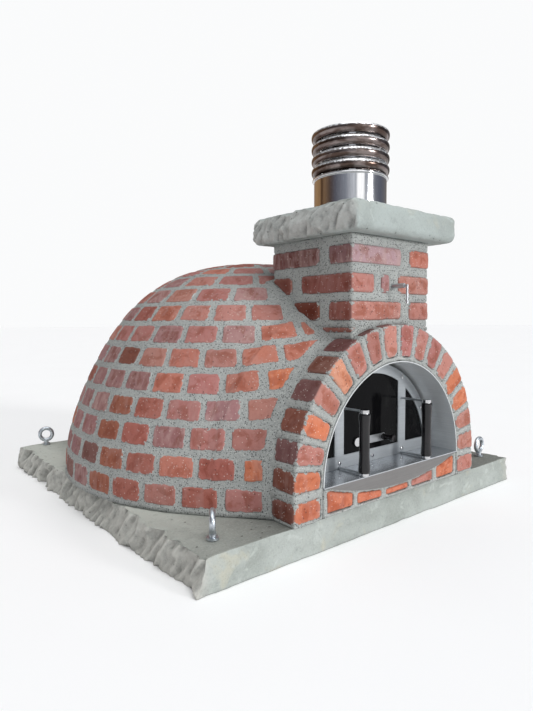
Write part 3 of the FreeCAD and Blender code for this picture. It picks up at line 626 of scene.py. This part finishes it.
def wear(points, edge, border):
    """How far each point of a brick's skin is raised or worn away."""
    chips = np.clip(noise(points, 0.010, 3) * 0.6 + noise(points, 0.021, 4) * 0.6, -0.6, 1)
    lift = 0.0004 * noise(points, 0.028, 5) + 0.0003 * noise(points, 0.009, 6)
    return lift - (edge * (0.0006 + 0.0018 * chips) + border * 0.0005 * (1 + noise(points, 0.014, 7)))


def paint_bricks(mesh, points, links, faces_out, middles, tones, sides):
    """Gives each brick the tone of the CAD brick nearest to it; where it faces away from the front, that tone
    is multiplied by the given factors, a painted shade on its sides.
    """
    part = islands(len(points), links)
    colours = np.empty((len(points), 3))
    haze = np.empty(len(points))
    for k in range(part.max() + 1):
        own = part == k
        away = np.linalg.norm(np.array(middles) - box_middle(points[own]), axis=1)
        tone = tones[int(np.argmin(away))]
        colours[own] = tone_of(tone)
        haze[own] = rng.uniform(0.25, 0.6) if tone in HAZY else rng.uniform(0.0, 0.22)
    # Painted shade: faces that turn away from the front are darkened by the side factors
    turned = np.clip((0.75 + faces_out[:, 1]) / 0.5, 0, 1)[:, None]
    colour_attribute(mesh, "brick", colours * (1 - turned * (1 - np.array(sides))))
    number_attribute(mesh, "haze", haze)


def lay_bricks(name, node, frames, pick, smear=1.0, sides=(1.0, 1.0, 1.0)):
    """Tumbled bricks in place of the CAD's sharp ones."""
    on_dome = frames is dome_frame
    points, faces = node_mesh(node)
    part = islands(len(points), np.concatenate([faces[:, :2], faces[:, 1:]]))
    middles = []
    for k in range(part.max() + 1):
        own = part == k
        corners = points[own]
        centre = box_middle(corners)
        middles.append(centre)
        if on_dome:
            corners = corners + towards_arch(centre)
        points[own] = nudge(corners, centre, *frames(centre))
    tones = pick(middles)
    obj = piece(name, points, faces)
    remesh(obj, BRICK_VOXEL)
    sharp, links = read(obj.data)
    found = relax(sharp, links, BRICK_ROUNDS)
    edge = np.clip(np.linalg.norm(found - sharp, axis=1) / EDGE_MOVE, 0, 1)
    rim = even(edge, links, 12) * 2.8 * smear
    border = np.clip(even(rim, links, 6), 0, 1)
    if on_dome:
        found = ease_neck(found)
        write(obj.data, found)
        found = level(found, normals(obj.data))
    write(obj.data, found)
    along = normals(obj.data)
    found = found + along * wear(found, edge, border)[:, None]
    write(obj.data, found)
    paint_bricks(obj.data, found, links, along, middles, tones, sides)
    number_attribute(obj.data, "rim", rim)
    number_attribute(obj.data, "border", border)
    coat(obj, BRICK)
    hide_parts(node)


# A frame is a brick's outward and upward directions, then what nudge takes: how much longer it is made,
# how much its size and its turn vary, and how far it may sink.

def dome_frame(centre):
    out = outward(centre)
    side = np.cross(np.array([0.0, 0.0, 1.0]), out)
    side = side / np.linalg.norm(side) if np.linalg.norm(side) > 0.01 else np.array([1.0, 0.0, 0.0])
    return out, np.cross(out, side), 0.035 + 0.08 * beside_arch(centre), 0.028, 0.020, 0.0007


def arch_frame(centre):
    up = np.array([centre[0], 0.0, max(centre[2] - ARCH_Z, 0.0)])
    up = up / np.linalg.norm(up)
    return np.array([0.0, -1.0, 0.0]), up, 0.03, 0.020, 0.014, 0.0004


def flat_frame(centre):
    return np.array([0.0, -1.0, 0.0]), np.array([0.0, 0.0, 1.0]), 0.0, 0.0, 0.0, 0.0003


def beside_arch(centre):
    return np.clip((LAST_Y - centre[1]) / 0.04, 0, 1)


def towards_arch(centre):
    """The dome's last bricks lie closer to the arch than even joints would put them."""
    out = outward(centre)
    forward = np.array([0.0, -1.0, 0.0]) + out * out[1]
    return forward / np.linalg.norm(forward) * LAST_SHIFT * beside_arch(centre)


def any_of(mixture):
    return lambda middles: [mixture[rng.integers(len(mixture))] for _ in middles]


def course_tones(order):
    """Tones for one ring: the listed ones from the arch backwards on the left, the rest mixed."""
    def pick(middles):
        names = any_of(DOME_MIX)(middles)
        left = [k for k, m in enumerate(middles) if m[0] < 0]
        left.sort(key=lambda k: math.atan2(-middles[k][0], -(middles[k][1] - DOME[1])))
        for k, tone in zip(left, order.split()):
            names[k] = tone
        return names
    return pick


def arch_tones(middles):
    order = sorted(range(len(middles)), key=lambda k: math.atan2(middles[k][0], middles[k][2] - ARCH_Z))
    names = ["salmon"] * len(middles)
    for k, tone in zip(order, ARCH_ORDER.split()):
        names[k] = tone
    return names


def stack_tones(middles):
    """Listed tones on the front of the stack, mixed ones on its other sides."""
    names = []
    for x, y, z in middles:
        course = int(np.argmin([abs(z - height) for height in STACK_COURSES]))
        if y >= STACK_FRONT:
            names.append(DOME_MIX[rng.integers(len(DOME_MIX))])
        elif course == SHORT_COURSE and abs(x) < SHORT_X:
            names.append("dusty")
        else:
            names.append((STACK_LEFT if x < 0 else STACK_RIGHT)[course])
    return names


for course in range(1, 14):
    tones = course_tones(DOME_LEFT[course - 1]) if course <= len(DOME_LEFT) else any_of(DOME_MIX)
    lay_bricks("dome_course_%02d_tumbled" % course, "dome_bricks_course_%02d" % course, dome_frame, tones)
lay_bricks("dome_crown_tumbled", "dome_crown_brick", dome_frame, any_of(DOME_MIX))
# Painted shade: the arch's and the stack's bricks are darkened where they face away from the front
lay_bricks("arch_bricks_tumbled", "arch_bricks", arch_frame, arch_tones,
           smear=0.95, sides=(0.33, 0.32, 0.38))
lay_bricks("sill_bricks_tumbled", "sill_bricks", flat_frame, any_of(["orange", "orange", "salmon"]),
           smear=0.45)
lay_bricks("chimney_bricks_tumbled", "chimney_bricks", flat_frame, stack_tones,
           smear=0.8, sides=(0.55, 0.42, 0.40))


# ---------------------------------------------------------------- mortar

MORTAR_PITCH = 0.0072
JOINT_DEPTH = 0.0017        # the dome's mortar lies this far behind the bricks' faces
FOOT_RISE, FOOT_HEIGHT = 0.003, 0.006       # it spreads a little where it meets the slab
SIDE_ROOM = 0.0105          # and no further than this past the dome's radius, to stay in the CAD's box
CROWN_SHARE = 0.9985        # its rows end just short of the crown, where they would meet in one point
# Where the dome's mortar is hidden: inside the arch, behind its front, and inside the stack
ARCH_HIDES_R, ARCH_HIDES_Y, FRONT_Y = 0.287, -0.380, -0.462
STACK_HIDES_X, STACK_HIDES_Y, STACK_HIDES_Z = 0.115, -0.263, 0.3
# Inside these radii the arch's and stack's mortar keeps clear of the liner and the flue
LINER_ROOM, FLUE_ROOM = 0.234, 0.092


def from_arch_middle(points):
    """Distance from the arch's middle line, or from the upright plane through it below the springing."""
    return np.hypot(points[:, 0], np.maximum(points[:, 2] - ARCH_Z, 0))


def closed_shell(quads, count):
    """Faces of a shell with an outer skin, an inner one whose points come count later, and its rim."""
    sides = np.concatenate([quads[:, [i, (i + 1) % 4]] for i in range(4)])
    key = np.sort(sides, 1)
    _, first, seen = np.unique(key[:, 0] * count + key[:, 1], return_index=True, return_counts=True)
    rim = sides[first[seen == 1]]
    walls = np.stack([rim[:, 1], rim[:, 0], rim[:, 0] + count, rim[:, 1] + count], 1)
    return np.concatenate([quads, quads[:, ::-1] + count, walls])


def dome_mortar():
    """The mortar that shows between the dome's bricks, as one closed shell."""
    rows = int(math.pi / 2 * DOME_R / MORTAR_PITCH)
    columns = int(2 * math.pi * DOME_R / MORTAR_PITCH)
    up = np.linspace(0, math.pi / 2 * CROWN_SHARE, rows + 1)
    round_about = np.linspace(0, 2 * math.pi, columns, endpoint=False)
    e, a = np.meshgrid(up, round_about, indexing="ij")
    direction = np.stack([np.cos(e) * np.sin(a), -np.cos(e) * np.cos(a), np.sin(e)], -1).reshape(-1, 3)
    skin = DOME + direction * dome_reach(direction, JOINT_DEPTH)[:, None]
    foot = np.exp(-(skin[:, 2] - SLAB_TOP) / FOOT_HEIGHT)
    lift = 0.0005 * noise(skin, 0.035, 21) + 0.0005 * noise(skin, 0.013, 22) + FOOT_RISE * foot
    skin = skin + direction * lift[:, None]
    skin[:, 0] = np.clip(skin[:, 0], -DOME_R - SIDE_ROOM, DOME_R + SIDE_ROOM)
    back = DOME + direction * dome_reach(direction, MORTAR_BED)[:, None]

    x, y, z = skin.T
    hidden = (from_arch_middle(skin) < ARCH_HIDES_R) & (y < ARCH_HIDES_Y)
    hidden |= (np.abs(x) < STACK_HIDES_X) & (y < STACK_HIDES_Y) & (z > STACK_HIDES_Z)
    hidden |= y < FRONT_Y
    index = np.arange(len(skin)).reshape(rows + 1, columns)
    right = np.roll(index, -1, 1)
    quads = np.stack([index[:-1], right[:-1], right[1:], index[1:]], -1).reshape(-1, 4)
    faces = closed_shell(quads[~hidden[quads].any(1)], len(skin))
    points = np.concatenate([skin, back])
    used = np.unique(faces)
    place = np.full(len(points), -1)
    place[used] = np.arange(len(used))
    obj = piece("dome_mortar_pointed", points[used], place[faces])
    obj.data.shade_smooth()
    coat(obj, MORTAR)
    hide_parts("dome_mortar")


def block_mortar(name, nodes, swell, size):
    """A mortar body struck almost flush with its bricks, and left as it is around the liner and the flue."""
    obj = piece(name, *joined(nodes))
    remesh(obj, size)
    found, links = read(obj.data)
    found = relax(found, links, 3)
    write(obj.data, found)
    along = normals(obj.data)
    bore = np.hypot(found[:, 0], found[:, 1] - FLUE_Y)
    free = (np.clip((from_arch_middle(found) - LINER_ROOM) / 0.015, 0, 1)
            * np.clip((bore - FLUE_ROOM) / 0.01, 0, 1))
    free = np.maximum(free, along[:, 1] < -0.7)
    uneven = 0.0005 * noise(found, 0.030, 31) + 0.0005 * noise(found, 0.012, 32)
    lift = free * (swell + uneven) - (1 - free) * 0.0008
    write(obj.data, found + along * lift[:, None])
    coat(obj, MORTAR)
    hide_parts(*nodes)


dome_mortar()
block_mortar("arch_mortar_struck", ["arch_core", "arch_mortar"], swell=0.0026, size=0.0032)
block_mortar("stack_mortar_struck", ["chimney_body"], swell=0.0028, size=0.0034)
block_mortar("threshold_mortar_struck", ["threshold_block"], swell=0.0026, size=0.0032)


# ---------------------------------------------------------------- concrete

ROCK_WIDTH, CAP_ROCK_WIDTH = 0.07, 0.06     # the rock face reaches this far in from the sides
PLAIN_WIDTH = 0.05          # and the small dents of the slab's plain front and back this far
FINE_RIM, FINE_STEP = 0.081, 0.0032     # the slab's grid is finest within this distance of its sides
ACROSS_LINES, DEEP_LINES, UP_LINES = 92, 312, 21        # its lines between those, front to back and up
CAP_VOXEL = 0.0032


def split_face(points, rise, seed, grain=1.0):
    """How far a rock face is broken back: leaning ridges, and more of it gone near its top edge."""
    x, y, z = points.T
    sheet = np.stack([x, y * 1.1 + z * 0.9, z * 0.6 - y * 0.25], 1) / grain
    rock = broken(sheet, 0.066, seed) * 0.032 + broken(sheet, 0.030, seed + 2) * 0.011
    rock += broken(sheet, 0.012, seed + 4) * 0.004
    return rock * grain ** 0.5 + rise ** 1.5 * (0.010 + 0.006 * noise(points, 0.045, seed + 6))


def painted_rock_relief(depth, links):
    """Where a rock face is deeper or higher than around it, from -1 to 1: painted shade in its hollows and
    painted highlight on its ridges.
    """
    return np.clip((depth - even(depth, links, 14)) / 0.0035, -1, 1)


def closeness(values, width):
    """From 1 at the lowest and at the highest value to 0 at this width from each."""
    low, high = values.min(), values.max()
    return np.clip(1 - (values - low) / width, 0, 1) ** 2, np.clip(1 - (high - values) / width, 0, 1) ** 2


def grid_box(lines):
    """A box on grid lines: its points, the quads of all sides but the underside, that one, and each level."""
    nx, ny, nz = (len(line) - 1 for line in lines)

    def side(fixed, value):
        ranges = [np.arange(len(line)) for line in lines]
        ranges[fixed] = np.array([value])
        i, j, k = (np.squeeze(index, axis=fixed) for index in np.meshgrid(*ranges, indexing="ij"))
        return (i * (ny + 1) + j) * (nz + 1) + k

    faces = []
    for fixed, value, flip in ((0, 0, True), (0, nx, False), (1, 0, False), (1, ny, True), (2, nz, False)):
        code = side(fixed, value)
        quad = np.stack([code[:-1, :-1], code[1:, :-1], code[1:, 1:], code[:-1, 1:]], -1).reshape(-1, 4)
        faces.append(quad[:, ::-1] if flip else quad)
    codes, place = np.unique(np.concatenate(faces), return_inverse=True)
    i, j, k = codes // ((ny + 1) * (nz + 1)), codes // (nz + 1) % (ny + 1), codes % (nz + 1)
    loop = [(x, 0) for x in range(nx)] + [(nx, y) for y in range(ny)]
    loop += [(x, ny) for x in range(nx, 0, -1)] + [(0, y) for y in range(ny, 0, -1)]
    under = [int(np.searchsorted(codes, (x * (ny + 1) + y) * (nz + 1))) for x, y in loop]
    return np.stack([lines[0][i], lines[1][j], lines[2][k]], 1), place.reshape(-1, 4), under, k


def slab():
    """The cast slab: rock face on its sides, trowelled on top and plain at the front and back."""
    low, high = (np.array(v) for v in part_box("base_slab"))
    rim = np.arange(0, FINE_RIM, FINE_STEP)
    inside = rim[-1] + 0.008
    middle = np.linspace(low[0] + inside, high[0] - inside, ACROSS_LINES)
    points, faces, under, level_of = grid_box([
        np.concatenate([low[0] + rim, middle, (high[0] - rim)[::-1]]),
        np.linspace(low[1], high[1], DEEP_LINES), np.linspace(low[2], high[2], UP_LINES)])
    top, bottom = level_of == level_of.max(), level_of == 0

    rise = (points[:, 2] - low[2]) / (high[2] - low[2])
    rock = split_face(points, rise, 41)
    plain = 0.0012 * (1 + noise(points, 0.05, 45)) + 0.0007 * (1 + noise(points, 0.012, 46))
    plain += 0.004 * np.clip(noise(points, 0.030, 47) - 0.3, 0, 1) * (np.abs(rise - 0.5) * 2) ** 3
    left, right = closeness(points[:, 0], ROCK_WIDTH)
    front, back = closeness(points[:, 1], PLAIN_WIDTH)
    moved = points.copy()
    moved[:, 0] += rock * left - rock * right
    moved[:, 1] += plain * front - plain * back
    trowelled = 0.0010 * (1 + noise(points, 0.09, 48)) + 0.0004 * (1 + noise(points, 0.014, 49))
    trowelled += 0.005 * (left + right) * (1 + noise(points, 0.025, 50)) / 2
    moved[top, 2] -= trowelled[top]
    pairs = np.concatenate([faces[:, :2], faces[:, 1:3], faces[:, 2:], faces[:, [3, 0]]])
    links = np.unique(np.sort(pairs, 1), axis=0)
    smooth = relax(moved, links, 1)
    smooth[bottom, 2] = low[2]
    obj = piece("slab_cast", smooth, [list(map(int, f)) for f in faces] + [under[::-1]])
    obj.data.shade_smooth()
    obj.data.polygons[-1].use_smooth = False
    x, y, _ = smooth.T
    side = np.clip(np.maximum(left, right) * 1.4 - 0.3, 0, 1)
    number_attribute(obj.data, "split", np.where(top, 0, side))
    # Painted light: the slab's top is painted paler towards its left and its back
    painted_top_light = np.clip((y + 0.70) / 0.50, 0, 1) * np.clip(-(x + 0.31) / 0.13, 0, 1)
    number_attribute(obj.data, "painted_top_light", painted_top_light)
    number_attribute(obj.data, "rock_shade_and_highlight", painted_rock_relief(rock, links) * side * ~top)
    coat(obj, SLAB_CONCRETE)
    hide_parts("base_slab")


def cap():
    """The chimney's cast cap, rock faced at its sides."""
    obj = piece("chimney_cap_cast", *node_mesh("chimney_cap"))
    remesh(obj, CAP_VOXEL)
    found, links = read(obj.data)
    found = relax(found, links, 2)
    write(obj.data, found)
    along = normals(obj.data)
    low, high = found[:, 2].min(), found[:, 2].max()
    left, right = closeness(found[:, 0], CAP_ROCK_WIDTH)
    side = np.clip(np.abs(along[:, 0]) * 1.5 - 0.3, 0, 1)
    rise = np.abs((found[:, 2] - low) / (high - low) * 2 - 1)
    rock = split_face(found, rise, 51, 0.75)
    found[:, 0] += rock * left - 0.5 * rock * right
    plain = 0.0008 * (1 + noise(found, 0.04, 55)) + 0.0005 * (1 + noise(found, 0.011, 56))
    write(obj.data, found - along * (plain * (1 - side))[:, None])
    number_attribute(obj.data, "split", side)
    number_attribute(obj.data, "rock_shade_and_highlight", painted_rock_relief(rock, links) * side)
    coat(obj, CAP_CONCRETE)
    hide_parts("chimney_cap")


slab()
cap()


# ---------------------------------------------------------------- CAD nodes that stay

STAYS = {
    "vestibule_liner": LINER_STEEL, "vestibule_floor": FLOOR_STEEL, "front_sill_plate": SILL_STEEL,
    "door_front_frame": DOOR_STEEL, "door_rear_frame": DOOR_STEEL, "door_glass": GLASS,
    "door_screws": POLISHED, "handle_rod_left": BRUSHED_Y, "handle_rod_right": BRUSHED_Y,
    "grip_end_caps": POLISHED, "handle_grip_left": LACQUER, "handle_grip_right": LACQUER,
    "vent_lever": BRUSHED_X, "vent_knob": LACQUER, "vent_pivot": POLISHED,
    "flue_pipe": POLISHED, "cowl_collar": POLISHED, "cowl_louvres": COWL_STEEL, "cowl_posts": POLISHED,
    "cowl_cap": COWL_STEEL, "damper_sleeve": BRUSHED_Y, "damper_rod": BRUSHED_X, "damper_plate": BRUSHED_X,
    "lifting_eyes": GALVANISED, "hearth_tiles": FIREBRICK, "throat_arch": REFRACTORY,
    "refractory_dome": REFRACTORY, "insulation_blanket": INSULATION, "floor_insulation_board": INSULATION,
    "outer_shell": REFRACTORY,
}
for name, material in STAYS.items():
    coat(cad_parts[name], material)


# ---------------------------------------------------------------- floor, light and camera

KEY_FROM, SKY_FROM = (0.30, -0.94, 0.17), (-0.12, -0.32, 0.94)
CEILING = (0.50, 0.52, 0.54)
BACKDROP = (0.960, 0.966, 0.972)        # what the camera sees past the floor, in the floor's own tone
# The walls' colour at each bearing in degrees: 0 is in front of the oven (-Y) and 90 on its right (+X)
WALLS = [
    (-180, (0.40, 0.24, 0.12)), (-158, (0.34, 0.20, 0.10)), (-150, (0.07, 0.035, 0.02)),
    (-138, (0.26, 0.16, 0.09)), (-112, (0.10, 0.07, 0.06)), (-95, (0.13, 0.13, 0.16)),
    (-62, (0.30, 0.32, 0.37)), (-36, (0.75, 0.78, 0.83)), (-29, (0.55, 0.58, 0.62)),
    (-25, (1.6, 1.6, 1.6)), (-5, (1.6, 1.6, 1.6)), (-1, (0.45, 0.48, 0.53)),
    (26, (0.42, 0.44, 0.48)), (34, (0.20, 0.21, 0.25)), (62, (0.14, 0.15, 0.19)),
    (100, (0.20, 0.19, 0.19)), (180, (0.40, 0.24, 0.12)),
]
WALL_TOP = (0.30, 0.62)     # the walls turn into the ceiling where a direction's Z is between these
CAMERA_PLACE = (-0.9392, -1.2057, 0.4378)
CAMERA_YAW, CAMERA_PITCH, CAMERA_ROLL = 39.57, 3.71, -0.27
CAMERA_LENS, CAMERA_SENSOR = 27.31, 36.0
FLOOR_HALF, FLOOR_Z = 40, -0.0006


def sun_light(name, source, strength, angle):
    """A sun that shines from this direction; angle is how wide it is in degrees."""
    light = bpy.data.lights.new(name, "SUN")
    light.energy = strength
    light.angle = math.radians(angle)
    obj = bpy.data.objects.new(name, light)
    bpy.context.scene.collection.objects.link(obj)
    obj.rotation_euler = Vector(source).to_track_quat("Z", "Y").to_euler()


def floor():
    corners = [(x * FLOOR_HALF, y * FLOOR_HALF, 0) for x, y in ((-1, -1), (1, -1), (1, 1), (-1, 1))]
    mesh = bpy.data.meshes.new("floor")
    mesh.from_pydata(corners, [], [(0, 1, 2, 3)])
    obj = bpy.data.objects.new("floor", mesh)
    bpy.context.scene.collection.objects.link(obj)
    obj.location.z = FLOOR_Z
    n = Nodes("pale_floor")
    coat(obj, n.finish(n.mix(n.noise(2, 3), (0.94, 0.94, 0.94), (0.975, 0.975, 0.975)), 0.9))


def surroundings():
    """A plain studio for polished steel to mirror: a bright doorway in front, dim walls, a pale ceiling."""
    world = bpy.data.worlds.new("studio")
    bpy.context.scene.world = world
    world.use_nodes = True
    tree = world.node_tree

    def add(kind, **settings):
        node = tree.nodes.new(kind)
        for key, value in settings.items():
            setattr(node, key, value)
        return node

    def ranged(value, low, high, **settings):
        node = add("ShaderNodeMapRange", **settings)
        node.inputs["From Min"].default_value, node.inputs["From Max"].default_value = low, high
        tree.links.new(value, node.inputs["Value"])
        return node.outputs["Result"]

    def mixed(share, first, second):
        node = add("ShaderNodeMix", data_type="RGBA")
        tree.links.new(share, node.inputs["Factor"])
        tree.links.new(first, node.inputs["A"])
        node.inputs["B"].default_value = second + (1.0,)
        return node.outputs["Result"]

    apart = add("ShaderNodeSeparateXYZ")
    tree.links.new(add("ShaderNodeTexCoord").outputs["Generated"], apart.inputs[0])
    minus = add("ShaderNodeMath", operation="MULTIPLY")
    minus.inputs[1].default_value = -1.0
    tree.links.new(apart.outputs["Y"], minus.inputs[0])
    bearing = add("ShaderNodeMath", operation="ARCTAN2")
    tree.links.new(apart.outputs["X"], bearing.inputs[0])
    tree.links.new(minus.outputs[0], bearing.inputs[1])
    walls = add("ShaderNodeValToRGB")
    ramp = walls.color_ramp
    while len(ramp.elements) < len(WALLS):
        ramp.elements.new(0.5)
    for element, (degrees, colour) in zip(ramp.elements, WALLS):
        element.position = (degrees + 180) / 360
        element.color = colour + (1.0,)
    tree.links.new(ranged(bearing.outputs[0], -math.pi, math.pi), walls.inputs[0])
    height = ranged(apart.outputs["Z"], *WALL_TOP, interpolation_type="SMOOTHSTEP")
    room = mixed(height, walls.outputs[0], CEILING)
    seen = mixed(add("ShaderNodeLightPath").outputs["Is Camera Ray"], room, BACKDROP)
    tree.links.new(seen, tree.nodes["Background"].inputs["Color"])


def camera():
    data = bpy.data.cameras.new("camera")
    data.sensor_width = CAMERA_SENSOR
    data.lens = CAMERA_LENS
    data.clip_start, data.clip_end = 0.02, 60
    obj = bpy.data.objects.new("camera", data)
    bpy.context.scene.collection.objects.link(obj)
    yaw, pitch, roll = (math.radians(v) for v in (CAMERA_YAW, CAMERA_PITCH, CAMERA_ROLL))
    ahead = Vector((math.sin(yaw) * math.cos(pitch), math.cos(yaw) * math.cos(pitch), -math.sin(pitch)))
    right = Vector((math.cos(yaw), -math.sin(yaw), 0))
    up = right.cross(ahead)
    turned = Matrix((right, up, -ahead)).transposed() @ Matrix.Rotation(roll, 3, "Z")
    obj.matrix_world = Matrix.Translation(CAMERA_PLACE) @ turned.to_4x4()
    bpy.context.scene.camera = obj


floor()
surroundings()
camera()
sun_light("key", KEY_FROM, strength=1.68, angle=12)
sun_light("sky", SKY_FROM, strength=1.5, angle=50)
bpy.context.scene.view_settings.view_transform = "Standard"
